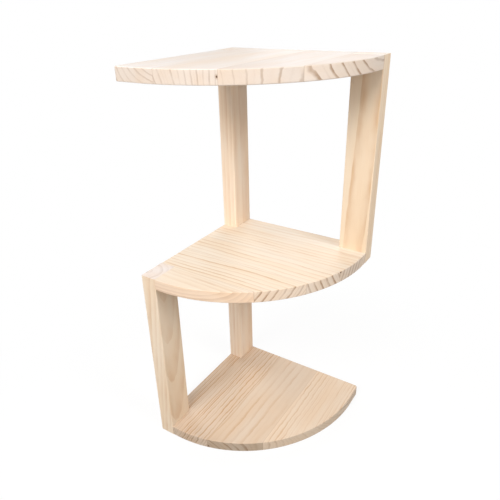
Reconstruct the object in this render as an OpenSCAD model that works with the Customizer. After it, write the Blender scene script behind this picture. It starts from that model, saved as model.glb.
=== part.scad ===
// Three-tier corner shelf: quarter-round boards notched round square-cut uprights.
// Millimetres. The room corner is at X = -reach / 2, Y = +reach / 2, and the floor is Z = 0.

/* [Overall] */
// distance that every shelf reaches along either wall
reach = 200; // [180:1:240]
// clear height between one shelf and the next
bay_height = 212; // [150:1:300]

/* [Shelf boards] */
// thickness of the glued boards
board_t = 14; // [12:0.5:20]
// length of the square end that runs on past an upright's thickness
end_margin = 5; // [3:0.5:10]
// radius of the free corners, seen from above
corner_r = 4; // [2:0.5:6]
// radius of the eased edges
edge_r = 1; // [0.5:0.25:1.5]

/* [Staves] */
// width of one stave in the top board, counted from the right column's notch
top_stave_w = 58.5; // [50:0.5:60]
// width of one stave in the bottom board, counted from its free end
bottom_stave_w = 64; // [55:0.5:70]

/* [Uprights] */
// thickness of the upright stock
upright_t = 20; // [16:0.5:22]
// width of the upright stock
upright_w = 35; // [34:0.5:45]
// radius of the uprights' long edges
upright_edge_r = 0.8; // [0.4:0.1:1.5]
// gap between an upright and its notch
notch_gap = 0; // [0:0.05:0.3]

/* [Screws] */
// overall length of a screw
screw_len = 40; // [32:1:45]
// shank diameter
screw_d = 3.5; // [3:0.5:4.5]
// head diameter
head_d = 7; // [6:0.5:8.5]
// depth of the head below the wood
head_sink = 0.3; // [0.2:0.1:1]
// distance from an upright's edge to the nearer screw
screw_inset = 9; // [7:0.5:12]
// gap all round a screw in its hole
screw_gap = 0.05; // [0.02:0.01:0.15]

/* [Hidden] */
$fn = 144;

pitch = bay_height + board_t;
level_z = [0, pitch, 2 * pitch];
overall_h = 2 * pitch + board_t;

end_len = upright_t + end_margin;
curve_r = reach - end_len;
far_edge = reach - upright_w;
// a stave whose whole width is notched starts at this depth from the wall
notch_depth = upright_t + notch_gap;

// glue lines, as distances from one wall
top_lines = [0, far_edge - 2 * top_stave_w, far_edge - top_stave_w, far_edge, reach];
middle_run = (far_edge - upright_w) / 3;
middle_lines = [0, upright_w, upright_w + middle_run, upright_w + 2 * middle_run, far_edge, reach];
bottom_lines = [0, reach - 2 * bottom_stave_w, reach - bottom_stave_w, reach];

head_r = head_d / 2;
shank_r = screw_d / 2;
head_land = 0.4;
head_h = head_land + head_r - shank_r;
tip_h = 4;
drive_depth = 1.8;
drive_w = 0.9;
drive_len = head_d * 0.55;
near_screw = screw_inset;
wide_screw = upright_w - screw_inset;

pine_pale = [0.96, 0.88, 0.76];
pine_warm = [0.94, 0.84, 0.70];
pine_post = [0.93, 0.82, 0.67];
steel = [0.78, 0.77, 0.72];

// placing: u runs along the right wall, v along the left wall, both from the room corner
module in_corner() {
    translate([-reach / 2, reach / 2, 0]) mirror([0, 1, 0]) children();
}

// a board's cross-section with its far edge eased in three small flats
module eased_section(len) {
    square([len - edge_r, board_t]);
    translate([0, edge_r]) square([len, board_t - 2 * edge_r]);
    translate([len - edge_r, edge_r]) circle(r = edge_r, $fn = 12);
    translate([len - edge_r, board_t - edge_r]) circle(r = edge_r, $fn = 12);
}

// strip along a wall, with the wall edge eased
module wall_strip(from, to) {
    translate([from, end_len, 0]) rotate([90, 0, 90]) linear_extrude(height = to - from)
        mirror([1, 0]) eased_section(end_len);
}

// last few millimetres of a square end, with its rounded corner
module free_end() {
    translate([reach - corner_r, end_len, 0]) rotate([90, 0, 0])
        linear_extrude(height = end_len - corner_r) eased_section(corner_r);
    translate([reach - corner_r, corner_r, 0]) rotate([0, 0, -90])
        rotate_extrude(angle = 90) eased_section(corner_r);
}

// one whole board before the notches are cut, with its underside at z = 0
module board_blank() {
    translate([end_len, end_len, 0]) rotate_extrude(angle = 90) eased_section(curve_r);
    wall_strip(0, reach - corner_r);
    mirror([1, -1, 0]) wall_strip(end_len, reach - corner_r);
    free_end();
    mirror([1, -1, 0]) free_end();
}

module back_notch() {
    translate([-1, -1, -1]) cube([upright_t + notch_gap + 1, upright_w + notch_gap + 1, board_t + 2]);
}

module left_notch() {
    translate([-1, far_edge - notch_gap, -1])
        cube([upright_t + notch_gap + 1, upright_w + notch_gap + 1, board_t + 2]);
}

module right_notch() {
    translate([far_edge - notch_gap, -1, -1])
        cube([upright_w + notch_gap + 1, upright_t + notch_gap + 1, board_t + 2]);
}

// screws: a countersunk wood screw that points along +z, its head's face at z = head_sink
module screw_shape(gap, over) {
    rotate_extrude() polygon([
        [0, head_sink - over],
        [head_r + gap, head_sink - over],
        [head_r + gap, head_sink + head_land],
        [shank_r + gap, head_sink + head_h],
        [shank_r + gap, screw_len - tip_h],
        [0, screw_len + 4 * gap]
    ]);
}

module screw() {
    difference() {
        screw_shape(0, 0);
        for (turn = [0, 90])
            rotate([0, 0, turn]) translate([-drive_len / 2, -drive_w / 2, head_sink - 1])
                cube([drive_len, drive_w, drive_depth + 1]);
    }
}

module screw_hole() {
    screw_shape(screw_gap, head_sink + 1);
}

// the two screws of one joint, driven away from the left wall at height z
module pair_from_left(v0, z) {
    for (v = [near_screw, wide_screw])
        translate([0, v0 + v, z]) rotate([0, 90, 0]) children();
}

// the two screws of one joint, driven away from the right wall at height z
module pair_from_right(u0, z) {
    for (u = [near_screw, wide_screw])
        translate([u0 + u, 0, z]) rotate([-90, 0, 0]) children();
}

// boards, each cut for the uprights and screws that it meets
module top_board() {
    difference() {
        board_blank();
        back_notch();
        right_notch();
        pair_from_left(0, board_t / 2) screw_hole();
        pair_from_right(far_edge, board_t / 2) screw_hole();
    }
}

module middle_board() {
    difference() {
        board_blank();
        back_notch();
        left_notch();
        right_notch();
        pair_from_left(0, board_t / 2) screw_hole();
        pair_from_left(far_edge, board_t / 2) screw_hole();
        pair_from_right(far_edge, board_t / 2) screw_hole();
    }
}

module bottom_board() {
    difference() {
        board_blank();
        back_notch();
        left_notch();
        pair_from_left(0, board_t / 2) screw_hole();
        pair_from_left(far_edge, board_t / 2) screw_hole();
    }
}

// slab between two glue lines, from a given start on; the grain runs along the left wall
module stave_across(from, to, start) {
    translate([from, start, -1]) cube([to - from, reach + 1 - start, board_t + 2]);
}

// slab between two glue lines, from a given start on; the grain runs along the right wall
module stave_along(from, to, start) {
    translate([start, from, -1]) cube([reach + 1 - start, to - from, board_t + 2]);
}

module top_stave(k) {
    color(pine_pale) in_corner() translate([0, 0, level_z[2]])
        intersection() {
            top_board();
            stave_across(top_lines[k - 1], top_lines[k], k == 4 ? notch_depth : -1);
        }
}

module middle_stave(k) {
    color(pine_warm) in_corner() translate([0, 0, level_z[1]])
        intersection() {
            middle_board();
            stave_along(middle_lines[k - 1], middle_lines[k], k == 1 || k == 5 ? notch_depth : -1);
        }
}

module bottom_stave(k) {
    color(pine_warm) in_corner() translate([0, 0, level_z[0]])
        intersection() {
            bottom_board();
            stave_across(bottom_lines[k - 1], bottom_lines[k], -1);
        }
}

// uprights: one stock section, with its long edges eased
module upright_section() {
    translate([upright_edge_r, 0]) square([upright_t - 2 * upright_edge_r, upright_w]);
    translate([0, upright_edge_r]) square([upright_t, upright_w - 2 * upright_edge_r]);
    for (x = [upright_edge_r, upright_t - upright_edge_r])
        for (y = [upright_edge_r, upright_w - upright_edge_r])
            translate([x, y]) circle(r = upright_edge_r);
}

module back_post() {
    color(pine_post) in_corner() difference() {
        linear_extrude(height = overall_h) upright_section();
        for (z = level_z) pair_from_left(0, z + board_t / 2) screw_hole();
    }
}

module left_column() {
    color(pine_post) in_corner() difference() {
        translate([0, far_edge, 0]) linear_extrude(height = pitch + board_t) upright_section();
        for (z = [level_z[0], level_z[1]]) pair_from_left(far_edge, z + board_t / 2) screw_hole();
    }
}

module right_column() {
    color(pine_post) in_corner() difference() {
        translate([far_edge, 0, pitch]) linear_extrude(height = pitch + board_t)
            mirror([1, -1]) upright_section();
        for (z = [level_z[1], level_z[2]]) pair_from_right(far_edge, z + board_t / 2) screw_hole();
    }
}

module back_post_screws() {
    color(steel) in_corner() for (z = level_z) pair_from_left(0, z + board_t / 2) screw();
}

module left_column_screws() {
    color(steel) in_corner()
        for (z = [level_z[0], level_z[1]]) pair_from_left(far_edge, z + board_t / 2) screw();
}

module right_column_screws() {
    color(steel) in_corner()
        for (z = [level_z[1], level_z[2]]) pair_from_right(far_edge, z + board_t / 2) screw();
}

for (k = [1:4]) top_stave(k);
for (k = [1:5]) middle_stave(k);
for (k = [1:3]) bottom_stave(k);
back_post();
left_column();
right_column();
back_post_screws();
left_column_screws();
right_column_screws();
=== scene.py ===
import math

import bpy
import numpy as np
from mathutils import Matrix, Vector


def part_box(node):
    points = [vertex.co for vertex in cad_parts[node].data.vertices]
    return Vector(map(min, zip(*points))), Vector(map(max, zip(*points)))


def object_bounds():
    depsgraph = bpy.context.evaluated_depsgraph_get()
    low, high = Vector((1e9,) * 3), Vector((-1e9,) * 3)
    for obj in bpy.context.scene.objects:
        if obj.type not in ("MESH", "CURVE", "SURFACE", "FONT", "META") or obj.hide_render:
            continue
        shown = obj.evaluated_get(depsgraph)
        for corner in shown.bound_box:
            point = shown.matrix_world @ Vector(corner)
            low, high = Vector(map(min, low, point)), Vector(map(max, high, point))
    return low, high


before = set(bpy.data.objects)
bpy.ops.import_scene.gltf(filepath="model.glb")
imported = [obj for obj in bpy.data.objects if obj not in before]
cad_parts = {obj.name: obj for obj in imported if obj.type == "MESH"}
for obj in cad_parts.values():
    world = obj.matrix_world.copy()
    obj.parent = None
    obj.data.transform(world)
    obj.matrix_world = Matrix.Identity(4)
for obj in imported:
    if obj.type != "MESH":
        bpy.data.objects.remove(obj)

# the startup file's own cube, lamp and camera have no place here
for spare in ("Cube", "Light", "Camera"):
    if spare in bpy.data.objects:
        bpy.data.objects.remove(bpy.data.objects[spare], do_unlink=True)

cad_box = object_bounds()
scene = bpy.context.scene
scene.view_settings.view_transform = "Standard"

# The shelf's sizes in millimetres. HALF: half of the square that it fills. THICK: a board. PITCH: from one
# board to the next. END: how far a board's front runs straight, at either wall, beyond its arc. CURVE: the
# arc's radius. MM: how many there are in a metre. CM: how many millimetres a centimetre has.
MM = 1000.0
CM = 10.0
HALF = float(cad_box[1][0]) * MM
THICK = 14.0
PITCH = (float(cad_box[1][2]) * MM - THICK) / 2
END = 25.0
CURVE = 2 * HALF - END


class Value:
    """A number that varies over a surface. Arithmetic on it adds Math nodes to its material."""

    def __init__(self, bench, socket):
        self.bench = bench
        self.socket = socket

    def math(self, operation, *terms):
        return self.bench.add("Math", {"operation": operation}, dict(enumerate(terms)))

    def __add__(self, other):
        return self.math("ADD", self, other)

    def __radd__(self, other):
        return self.math("ADD", other, self)

    def __sub__(self, other):
        return self.math("SUBTRACT", self, other)

    def __rsub__(self, other):
        return self.math("SUBTRACT", other, self)

    def __mul__(self, other):
        return self.math("MULTIPLY", self, other)

    def __rmul__(self, other):
        return self.math("MULTIPLY", other, self)

    def __truediv__(self, other):
        return self.math("DIVIDE", self, other)

    def __rtruediv__(self, other):
        return self.math("DIVIDE", other, self)

    def __pow__(self, other):
        return self.math("POWER", self, other)

    def __abs__(self):
        return self.math("ABSOLUTE", self)


class Bench:
    """A node tree in the making: a material's own, or the world's."""

    def __init__(self, owner):
        owner.use_nodes = True
        self.owner = owner
        self.tree = owner.node_tree
        self.tree.nodes.clear()

    def add(self, kind, settings=None, inputs=None, output=0):
        """Adds a node: its settings first, then the value or link of each input named or numbered."""
        node = self.tree.nodes.new("ShaderNode" + kind)
        for name, setting in (settings or {}).items():
            setattr(node, name, setting)
        for name, given in (inputs or {}).items():
            if isinstance(given, Value):
                self.tree.links.new(given.socket, node.inputs[name])
            else:
                node.inputs[name].default_value = given
        return Value(self, node.outputs[output]) if len(node.outputs) else node

    def parts(self, vector):
        """The x, y and z of a vector."""
        return [self.add("SeparateXYZ", None, {0: vector}, k) for k in range(3)]

    def place(self):
        """Where a point of the object is: x, y and z in millimetres."""
        return [part * MM for part in self.parts(self.add("TexCoord", output="Object"))]

    def larger(self, first, second):
        return self.add("Math", {"operation": "MAXIMUM"}, {0: first, 1: second})

    def viewed(self):
        """1 for what the camera or a mirror sees, 0 for what only lights something else."""
        return self.larger(*(self.add("LightPath", output=ray) for ray in ("Is Camera Ray", "Is Glossy Ray")))

    def blend(self, how_much, first, second, kind="MIX"):
        """Mixes two colours. Sockets 0, 6 and 7 take the share and the colours, and 2 gives the result."""
        settings = {"data_type": "RGBA", "blend_type": kind, "clamp_factor": True}
        return self.add("Mix", settings, {0: how_much, 6: first, 7: second}, 2)

    def stain(self, colour, how_much, tint):
        """Multiplies a colour by a tint, in part where how_much is below 1."""
        return self.blend(how_much, colour, tint, "MULTIPLY")

    def rise(self, value, low, high):
        """Goes smoothly from 0 at low to 1 at high."""
        settings = {"interpolation_type": "SMOOTHSTEP", "clamp": True}
        return self.add("MapRange", settings, {0: value, 1: low, 2: high, 3: 0.0, 4: 1.0})

    def cloud(self, x, y, z, detail=1.0, roughness=0.5):
        """Smooth noise around 0, from about -0.5 to 0.5, one unit of x, y and z to a lump."""
        place = self.add("CombineXYZ", None, {0: x, 1: y, 2: z})
        inputs = {"Vector": place, "Scale": 1.0, "Detail": detail, "Roughness": roughness}
        return self.add("TexNoise", {"noise_dimensions": "3D"}, inputs) - 0.5

    def sway(self, w):
        """Slow noise along one line, from about -0.5 to 0.5."""
        inputs = {"W": w, "Scale": 1.0, "Detail": 1.0, "Roughness": 0.4}
        return self.add("TexNoise", {"noise_dimensions": "1D"}, inputs) - 0.5

    def lot(self, w):
        """A random number from 0 to 1 that stays the same for the same w."""
        return self.add("TexWhiteNoise", {"noise_dimensions": "1D"}, {"W": w})

    def finish(self, surface):
        """Gives the material its surface and returns it."""
        self.add("OutputMaterial", None, {"Surface": surface})
        return self.owner


def rgba(red, green, blue):
    return (red, green, blue, 1.0)


def shade(colour, by):
    return rgba(*(c * b for c, b in zip(colour[:3], by)))


def dress(name, material):
    """Puts a material into every slot of a piece."""
    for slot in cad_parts[name].material_slots:
        slot.material = material


# the pale early wood of each board and of the uprights, on planed faces and on sawn ends and rims; the bottom
# board's sawn colour is in part painted shade, and the uprights' sawn colour in part painted light
PLANED = {
    "top": rgba(0.846, 0.786, 0.742),
    "middle": rgba(0.806, 0.720, 0.612),
    "bottom": rgba(0.645, 0.528, 0.422),
    "post": rgba(0.845, 0.712, 0.562),
}
SAWN = {
    "top": rgba(0.700, 0.612, 0.540),
    "middle": rgba(0.765, 0.645, 0.530),
    # darker in part as painted shade: the bottom rim lies under the middle board, which keeps light off it
    "bottom": rgba(0.560, 0.450, 0.345),
    # paler than the uprights' planed faces, in part as painted light on their up-facing ends
    "post": rgba(0.890, 0.815, 0.735),
}

# what late wood leaves of that colour, on planed and on sawn faces
PLANED_LATE = (0.78, 0.62, 0.47)
SAWN_LATE = (0.55, 0.44, 0.35)

# what the rest of the figure leaves of the colour below it, where it is full
WARM_DRIFT = rgba(0.985, 0.925, 0.855)
FIBRES = rgba(0.92, 0.87, 0.81)
RESIN_FLECKS = rgba(0.62, 0.50, 0.40)
END_PITS = rgba(0.84, 0.78, 0.71)
EASED_EDGES = rgba(0.90, 0.84, 0.77)
GLUE_LINES = rgba(0.62, 0.52, 0.43)
KNOT_HALO = rgba(0.60, 0.45, 0.33)

KNOT_CORE = rgba(0.085, 0.040, 0.022)

# the cast of a piece that has no tint of its own
EVEN = (1.0, 1.0, 1.0)

# How the growth rings lie in each stave, seen on its sawn rim. lie: its board. rings: the count of rings
# is a quadratic in the place across the board from the stave's middle, a, and the place through it from
# mid-thickness, t, in centimetres: 1, a, t, a*a, a*t, t*t. years: a number that draws how hard each
# year's wood is. slip: rings gained for each metre back from the rim. bold: how strongly the lines show
# on planed and on sawn faces. band: how much of a ring its late wood takes. between: how strong the false
# rings are. ripple: how far a line wanders over a few millimetres. cast: a tint on planed and on sawn
# faces, next to the rest of its board; on the sawn rims of bottom_stave_2 and bottom_stave_3 it is in part
# painted shade and painted light, and the planed casts of top_stave_3 and top_stave_4 darken the right
# part of the top face. knots: the place and the radius of each pin knot.
STAVES = {
    "top_stave_1": dict(
        lie="top", rings=(1.76, 1.023, 1.176, -0.077, 0.248, -0.114), slip=3.0,
        years=222308, bold=(0.25, 0.60), band=0.30, between=0.3, cast=((1.02, 1.05, 1.09), EVEN)),
    "top_stave_2": dict(
        lie="top", rings=(4.52, 1.778, 0.240, 0.064, -0.101, -0.008), slip=-2.0,
        years=150252, bold=(0.25, 0.55), band=0.25, between=0.5, knots=((105.9, 181.0, 459.6, 0.9),)),
    "top_stave_3": dict(
        lie="top", rings=(3.66, 0.915, -0.020, -0.053, -0.050, 0.000), slip=2.0,
        years=111806, bold=(0.25, 0.54), band=0.10, between=0.3, cast=((0.92, 0.91, 0.91), EVEN)),
    "top_stave_4": dict(
        lie="top", rings=(2.04, 1.442, 0.519, 0.364, 0.151, -0.039), slip=-2.0,
        years=371988, bold=(0.25, 1.15), band=0.17, between=0.3,
        cast=((0.88, 0.86, 0.855), (1.07, 1.09, 1.11))),
    "middle_stave_1": dict(
        lie="middle", rings=(2.10, 1.250, 0.600, 0.050, 0.050, 0.050), slip=2.0,
        years=80609, bold=(0.75, 0.8), band=0.55, between=0.4),
    "middle_stave_2": dict(
        lie="middle", rings=(3.39, -1.518, -0.625, -0.051, -0.025, 0.054), slip=1.5,
        years=119420, bold=(0.95, 1.0), band=0.45, between=0.4, cast=(EVEN, (0.96, 1.00, 1.06)),
        knots=((192.0, 77.6, 238.8, 0.6),)),
    "middle_stave_3": dict(
        lie="middle", rings=(2.34, -1.250, 0.480, -0.046, -0.046, -0.089), slip=-1.5,
        years=80378, bold=(0.75, 1.12), band=0.30, between=0.5, cast=(EVEN, (1.02, 1.05, 1.09))),
    "middle_stave_4": dict(
        lie="middle", rings=(2.86, -1.403, -0.741, -0.087, -0.038, 0.109), slip=2.0,
        years=228132, bold=(1.15, 1.12), band=0.30, between=0.8, cast=(EVEN, (1.04, 1.04, 1.05))),
    "middle_stave_5": dict(
        lie="middle", rings=(1.86, 1.296, 1.680, -0.348, 0.407, -0.168), slip=5.0,
        years=854, bold=(0.80, 0.4), band=0.75, between=0.4, cast=(EVEN, (1.08, 1.00, 0.93))),
    "bottom_stave_1": dict(
        lie="bottom", rings=(3.52, 1.625, -0.840, -0.045, 0.049, 0.159), slip=1.0,
        years=205620, bold=(1.70, 0.9), band=0.28, between=2.0, ripple=0.42,
        cast=(EVEN, (1.11, 1.12, 1.15))),
    # its sawn cast darkens the middle of the bottom rim, in part as painted shade
    "bottom_stave_2": dict(
        lie="bottom", rings=(2.48, 1.090, 0.850, -0.057, -0.289, 0.052), slip=-1.0,
        years=112771, bold=(0.62, 0.9), band=0.35, between=0.4,
        cast=((1.00, 0.995, 0.98), (0.86, 0.87, 0.88)), knots=((73.3, 193.5, 2.8, 0.8),)),
    # its sawn cast lightens the right end of the bottom rim, in part as painted light from the right
    "bottom_stave_3": dict(
        lie="bottom", rings=(4.76, 1.668, 0.507, 0.061, 0.166, 0.216), slip=1.0,
        years=256097, bold=(1.20, 0.6), band=0.35, between=1.2, ripple=0.50,
        cast=((1.09, 1.09, 1.07), (1.19, 1.215, 1.24))),
}

# The uprights. pith: where the middle of the log was, as (u, v) at the foot. lean: how far it shifts for
# each millimetre of height. width: of one ring. count: rings skipped before the first. The other words
# mean what they do for a stave.
POSTS = {
    "back_post": dict(
        lie="post", pith=(-30.0, 5.0), lean=(0.004, 0.0), width=4.75, count=0.33,
        years=146616, bold=(0.50, 0.35), band=0.75, between=0.2,
        cast=((1.14, 1.15, 1.20), (1.04, 1.06, 1.10))),
    "left_column": dict(
        lie="post", pith=(-24.2, 188.5), lean=(0.10, 0.0), width=6.2, count=0.15,
        years=331571, bold=(0.60, 0.30), band=0.60, between=0.3,
        cast=((0.985, 0.985, 0.985), (0.90, 0.91, 0.97))),
    "right_column": dict(
        lie="post", pith=(171.4, 62.0), lean=(0.045, 0.0), width=6.0, count=0.658, ripple=0.12,
        years=39885, bold=(0.80, 0.35), band=0.20, between=0.4,
        cast=((1.00, 0.99, 0.97), (1.04, 1.06, 1.10))),
}


def stave_sides(name, lie):
    """Where a stave starts and ends across its board."""
    low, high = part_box(name)
    if lie == "middle":
        return HALF - float(high[1]) * MM, HALF - float(low[1]) * MM
    return HALF + float(low[0]) * MM, HALF + float(high[0]) * MM


class Timber(Bench):
    """The tree of one wooden piece's material. Lengths are in millimetres: u runs from the room corner
    along the right wall, v along the left wall, and h is the height."""

    def __init__(self, name, number, lie):
        super().__init__(bpy.data.materials.new("pine_" + name))
        # each piece takes its own stretch of the noise
        self.seed = number * 17.3
        x, y, self.h = self.place()
        self.u, self.v = x + HALF, HALF - y
        self.facing = [abs(part) for part in self.parts(self.add("NewGeometry", output="Normal"))]
        if lie == "post":
            self.across, self.through, self.along = self.u, self.v, self.h
            end_on = off_planed = self.facing[2]
        else:
            underside = {"bottom": 0.0, "middle": PITCH, "top": 2 * PITCH}[lie]
            self.through = self.h - underside
            self.across, self.along = (self.v, self.u) if lie == "middle" else (self.u, self.v)
            end_on = self.facing[0 if lie == "middle" else 1]
            off_planed = 1.0 - self.facing[2]
        # 1 on the sawn rims and ends and 0 on planed faces; end_cut is 1 only where the fibres end
        self.sawn = self.rise(off_planed, 0.25, 0.85)
        self.end_cut = self.rise(end_on, 0.35, 0.95)

    def lumps(self, wide, long, shift=0.0, detail=1.0, roughness=0.5):
        """Smooth noise around 0, in lumps so wide across the grain and so long along it."""
        drawn = self.along / long + (self.seed + shift)
        return self.cloud(self.across / wide, self.through / wide, drawn, detail, roughness)

    def board_count(self, middle, rings, slip, ripple):
        """Rings counted in a stave: the quadratic on its rim, which drifts slowly as the grain runs back."""
        over = self.larger(self.across - END, 0.0)
        back = (CURVE ** 2 - over * over) ** 0.5 + END - self.along
        a, t = (self.across - middle) / CM, (self.through - THICK / 2) / CM
        count = rings[0] + a * (rings[1] + a * rings[3] + t * rings[4]) + t * (rings[2] + t * rings[5])
        # on the rim and just behind it the lines stay where the quadratic puts them
        inside = self.rise(back, 4.0, 45.0)
        drift = self.sway(back / 130.0 + self.seed) * 0.7 + self.lumps(19.0, 85.0, roughness=0.4) * 0.5
        return count + back * (slip / MM) + drift * inside + self.lumps(7.0, 11.0) * ripple

    def post_count(self, pith, lean, width, count, ripple):
        """Rings counted in an upright: the distance from the log's middle over the width of a ring."""
        sway = self.sway(self.h / 160.0 + self.seed)
        off_u = self.u - (self.h * lean[0] + pith[0] + sway)
        off_v = self.v - (self.h * lean[1] + pith[1] - sway)
        return (off_u * off_u + off_v * off_v) ** 0.5 / width + (self.lumps(7.0, 22.0) * ripple + count)

    def late_wood(self, count, years, band, between):
        """From 0 in early wood to 1 in late wood. Within a ring the wood goes slowly from the one to the
        other, and then back at once. A false ring is a weaker line before it."""
        year = self.add("Math", {"operation": "FLOOR"}, {0: count})
        season = count - year
        hard = self.lot(year + float(years))
        # the places in a ring, from 0 to 1, where late wood is darkest, starts to stop and has stopped
        full, over, end = 0.90, 0.95, 1.0
        start = full - band * (0.7 + 0.6 * hard)
        late = self.rise(season, start, full) * (1.0 - self.rise(season, over, end)) * (0.12 + 0.88 * hard)
        false_ring = self.rise(season, 0.30, 0.42) * (1.0 - self.rise(season, 0.42, 0.52))
        return late + false_ring * self.lot(year + float(years + 7)) * (0.4 * between)


def pine(name, number, lie, years, bold, band, between, ripple=0.22, cast=(EVEN, EVEN), knots=(), **growth):
    """Solid pine, cut by the piece's faces as a saw would cut it."""
    wood = Timber(name, number, lie)
    u, v, h, seed, sawn = wood.u, wood.v, wood.h, wood.seed, wood.sawn
    if lie == "post":
        seams = []
        count = wood.post_count(ripple=ripple, **growth)
    else:
        # a side that isn't within a millimetre of the board's own edge is glued to the next stave
        sides = stave_sides(name, lie)
        seams = [side for side in sides if 1.0 < side < 2 * HALF - 1.0]
        count = wood.board_count(middle=sum(sides) / 2, ripple=ripple, **growth)
    late = wood.late_wood(count, years, band, between)

    # lines fade and strengthen along the plank; fibres, resin flecks, and a slow drift of colour
    patch = wood.lumps(11.0, 42.0, 5.0, detail=2.0)
    fibre = wood.lumps(1 / 1.7, 34.0, detail=3.0, roughness=0.6)
    pores = wood.lumps(1 / 3.6, 7.0)
    fleck = wood.rise(pores, 0.17, 0.27) * (0.3 + 0.7 * late)
    drift = wood.lumps(22.0, 110.0, 9.0, detail=2.0)
    shown = late * (wood.rise(patch, -0.22, 0.18) * 0.7 + 0.35 + 0.2 * sawn)
    shown = shown * (sawn * (bold[1] - bold[0]) + bold[0])
    pits = wood.rise(pores, -0.05, 0.20) * wood.end_cut

    planed, cut = shade(PLANED[lie], cast[0]), shade(SAWN[lie], cast[1])
    early = wood.blend(sawn, planed, cut)
    tan = wood.blend(sawn, shade(planed, PLANED_LATE), shade(cut, SAWN_LATE))
    colour = wood.blend(shown, early, tan)
    colour = wood.stain(colour, 1.0 - wood.rise(drift, -0.22, 0.22), WARM_DRIFT)
    colour = wood.stain(colour, wood.rise(fibre, -0.30, 0.35) * 0.45, FIBRES)
    colour = wood.stain(colour, fleck * 0.40, RESIN_FLECKS)
    colour = wood.stain(colour, pits * 0.35, END_PITS)

    # eased edges: rubbed down, so that the fibres lie smooth and the wood is a trace darker
    if lie == "post":
        edge = wood.facing[0] * wood.facing[1] * 2.0
    else:
        edge = (1.0 - wood.facing[2] * wood.facing[2]) * wood.facing[2] * wood.facing[2] * 4.0
    worn = wood.rise(edge, 0.15, 0.8) * (0.6 + wood.cloud(u / 9.0, v / 9.0, h / 9.0 + seed, 2.0, 0.6))
    colour = wood.stain(colour, worn * 0.40, EASED_EDGES)

    # a fine dark line where one stave is glued to the next
    for seam in seams:
        near = 1.0 - wood.rise(abs(wood.across - seam), 0.05, 0.40)
        colour = wood.stain(colour, near * 0.5, GLUE_LINES)

    # pin knots: a dark core in a tan halo, both longest along the left wall
    for knot_u, knot_v, knot_h, size in knots:
        du, dv, dh = (u - knot_u) / size, (v - knot_v) / (size * 3.0), (h - knot_h) / (size * 1.4)
        away = (du * du + dv * dv + dh * dh) ** 0.5
        colour = wood.stain(colour, (1.0 - wood.rise(away, 0.9, 2.6)) * 0.6, KNOT_HALO)
        colour = wood.blend(1.0 - wood.rise(away, 0.6, 1.1), colour, KNOT_CORE)

    height = late * 0.5 + fibre * 0.6 - fleck * 0.5 - pits * 0.35
    relief = wood.add("Bump", None, {"Strength": 0.35, "Distance": 0.00012, "Height": height})
    rough = 0.60 - late * 0.10 + fibre * 0.12 + wood.end_cut * 0.10 - worn * 0.06
    coat = {"Base Color": colour, "Roughness": rough, "Normal": relief}
    coat.update({"Specular IOR Level": 0.35, "IOR": 1.5})
    return wood.finish(wood.add("BsdfPrincipled", None, coat))


for number, (name, growth) in enumerate({**STAVES, **POSTS}.items()):
    dress(name, pine(name, number, **growth))


def zinc():
    """Zinc plating with a faint yellow cast, cloudy, with fine marks that are duller."""
    bench = Bench(bpy.data.materials.new("zinc_plated_screw"))
    x, y, z = bench.place()
    cloudy = bench.cloud(x / 3.0, y / 3.0, z / 3.0, 3.0, 0.6)
    marks = bench.cloud(x * 6.0, y * 6.0, z * 6.0, 2.0, 0.5)
    metal = bench.blend(bench.rise(cloudy, -0.25, 0.25), rgba(0.50, 0.48, 0.42), rgba(0.66, 0.65, 0.60))
    metal = bench.blend(bench.rise(marks, 0.08, 0.3) * 0.4, metal, rgba(0.36, 0.34, 0.30))
    rough = 0.34 + cloudy * 0.20 + marks * 0.10
    relief = bench.add("Bump", None, {"Strength": 0.25, "Distance": 0.00005, "Height": marks + cloudy * 0.4})
    coat = {"Base Color": metal, "Metallic": 1.0, "Roughness": rough, "Normal": relief}
    return bench.finish(bench.add("BsdfPrincipled", None, coat))


plated = zinc()
for name in ("back_post_screws", "left_column_screws", "right_column_screws"):
    dress(name, plated)


def floor_disc(radius, drop, rings, spokes):
    """A flat disc just under the shelf: rings of points, whose radius grows as the square of their
    number, joined by triangles at the middle and by quads farther out."""
    angle = np.linspace(0, 2 * np.pi, spokes, endpoint=False)
    reach = radius * np.linspace(0, 1, rings + 1)[1:] ** 2
    x = np.concatenate([[0.0], np.outer(reach, np.cos(angle)).ravel()])
    y = np.concatenate([[0.0], np.outer(reach, np.sin(angle)).ravel()])
    points = np.column_stack([x, y, np.full_like(x, -drop)])
    k = np.arange(spokes)
    after = (k + 1) % spokes
    faces = [[0, 1 + a, 1 + b] for a, b in zip(k.tolist(), after.tolist())]
    for ring in range(rings - 1):
        inner, outer = 1 + ring * spokes, 1 + (ring + 1) * spokes
        faces += np.column_stack([inner + k, outer + k, outer + after, inner + after]).tolist()
    mesh = bpy.data.meshes.new("floor")
    mesh.from_pydata(points.tolist(), [], faces)
    disc = bpy.data.objects.new("floor", mesh)
    scene.collection.objects.link(disc)
    return disc


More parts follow.
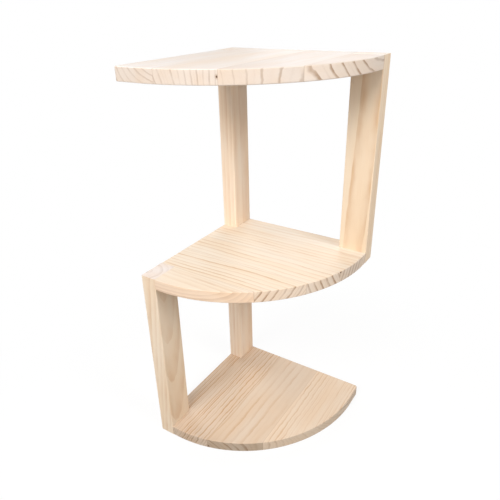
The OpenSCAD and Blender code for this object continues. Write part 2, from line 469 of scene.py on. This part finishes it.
def floor_paint():
    """Matt white that fades, away from the shelf, into an even white for the camera. What the camera
    doesn't see of it is grey, so that the floor throws little light up at the shelf."""
    bench = Bench(bpy.data.materials.new("floor_white"))
    place = bench.add("TexCoord", output="Object")
    reach = bench.add("VectorMath", {"operation": "LENGTH"}, {0: place}, "Value")
    mottle = bench.add("TexNoise", {"noise_dimensions": "3D"}, {"Vector": place, "Scale": 6.0, "Detail": 2.0})
    white = bench.blend(mottle, rgba(0.93, 0.93, 0.93), rgba(0.96, 0.96, 0.96))
    seen = bench.add("LightPath", output="Is Camera Ray")
    matt = bench.add("BsdfDiffuse", None, {"Color": bench.blend(seen, rgba(0.5, 0.5, 0.5), white)})
    even = bench.add("Emission", None, {"Color": rgba(1, 1, 1), "Strength": 1.0})
    # near the shelf a little of the matt white shows, and with it the shelf's shadow
    near = 0.87
    far = bench.rise(reach, 0.10, 0.45) * (1.0 - near) + near
    return bench.finish(bench.add("MixShader", None, {0: bench.viewed() * far, 1: matt, 2: even}))


floor = floor_disc(radius=9.0, drop=0.0003, rings=12, spokes=96)
floor.data.materials.append(floor_paint())


def room_light(strength, tint):
    """An even room: white where the camera looks at it, dimmer and a little warm as a source of light."""
    world = bpy.data.worlds.new("studio")
    scene.world = world
    bench = Bench(world)
    viewed = bench.viewed()
    level = viewed * (1.0 - strength) + strength
    colour = bench.blend(viewed, tint, rgba(1, 1, 1))
    white = bench.add("Background", None, {"Color": colour, "Strength": level})
    bench.add("OutputWorld", None, {"Surface": white})


room_light(0.15, rgba(1.0, 0.88, 0.78))

# name: where it hangs, where it points, its width and height, all in metres, and its power in watts
LAMPS = {
    "softbox_left": ((-0.199, -1.130, 0.910), (0.0, 0.0, 0.3), (0.5, 0.5), 4.3),
    "softbox_front": ((0.030, -0.944, 1.039), (0.0, 0.0, 0.3), (0.6, 0.6), 10.2),
    "softbox_right": ((1.130, -0.060, 1.060), (0.0, 0.0, 0.3), (0.5, 0.5), 7.0),
    "softbox_side": ((1.080, -0.250, 0.780), (0.0, 0.0, 0.25), (0.5, 0.5), 2.9),
    "softbox_back_left": ((-1.050, 0.300, 0.560), (0.0, 0.0, 0.25), (0.6, 0.6), 4.6),
    "softbox_back_right": ((-0.300, 1.050, 0.560), (0.0, 0.0, 0.25), (0.6, 0.6), 4.6),
}

for name, (place, target, size, power) in LAMPS.items():
    lamp = bpy.data.lights.new(name, "AREA")
    lamp.shape = "RECTANGLE"
    lamp.size, lamp.size_y = size
    lamp.energy = power
    hung = bpy.data.objects.new(name, lamp)
    hung.location = place
    hung.rotation_euler = (Vector(target) - Vector(place)).to_track_quat("-Z", "Y").to_euler()
    scene.collection.objects.link(hung)

# The camera, fitted to the outlines in the photograph. EYE and AIM are in metres, FOCAL in millimetres
# for a picture 36 mm wide, and ROLL in degrees about the line of sight.
EYE = Vector((0.27458, -0.44539, 0.51997))
AIM = Vector((-0.01882, 0.00425, 0.24727))
FOCAL = 35.707
ROLL = -1.319

lens = bpy.data.cameras.new("camera")
lens.lens = FOCAL
lens.sensor_width = 36.0
lens.clip_start = 0.01
camera = bpy.data.objects.new("camera", lens)
turned = (AIM - EYE).to_track_quat("-Z", "Y").to_matrix().to_4x4()
camera.matrix_world = Matrix.Translation(EYE) @ turned @ Matrix.Rotation(math.radians(ROLL), 4, "Z")
scene.collection.objects.link(camera)
scene.camera = camera
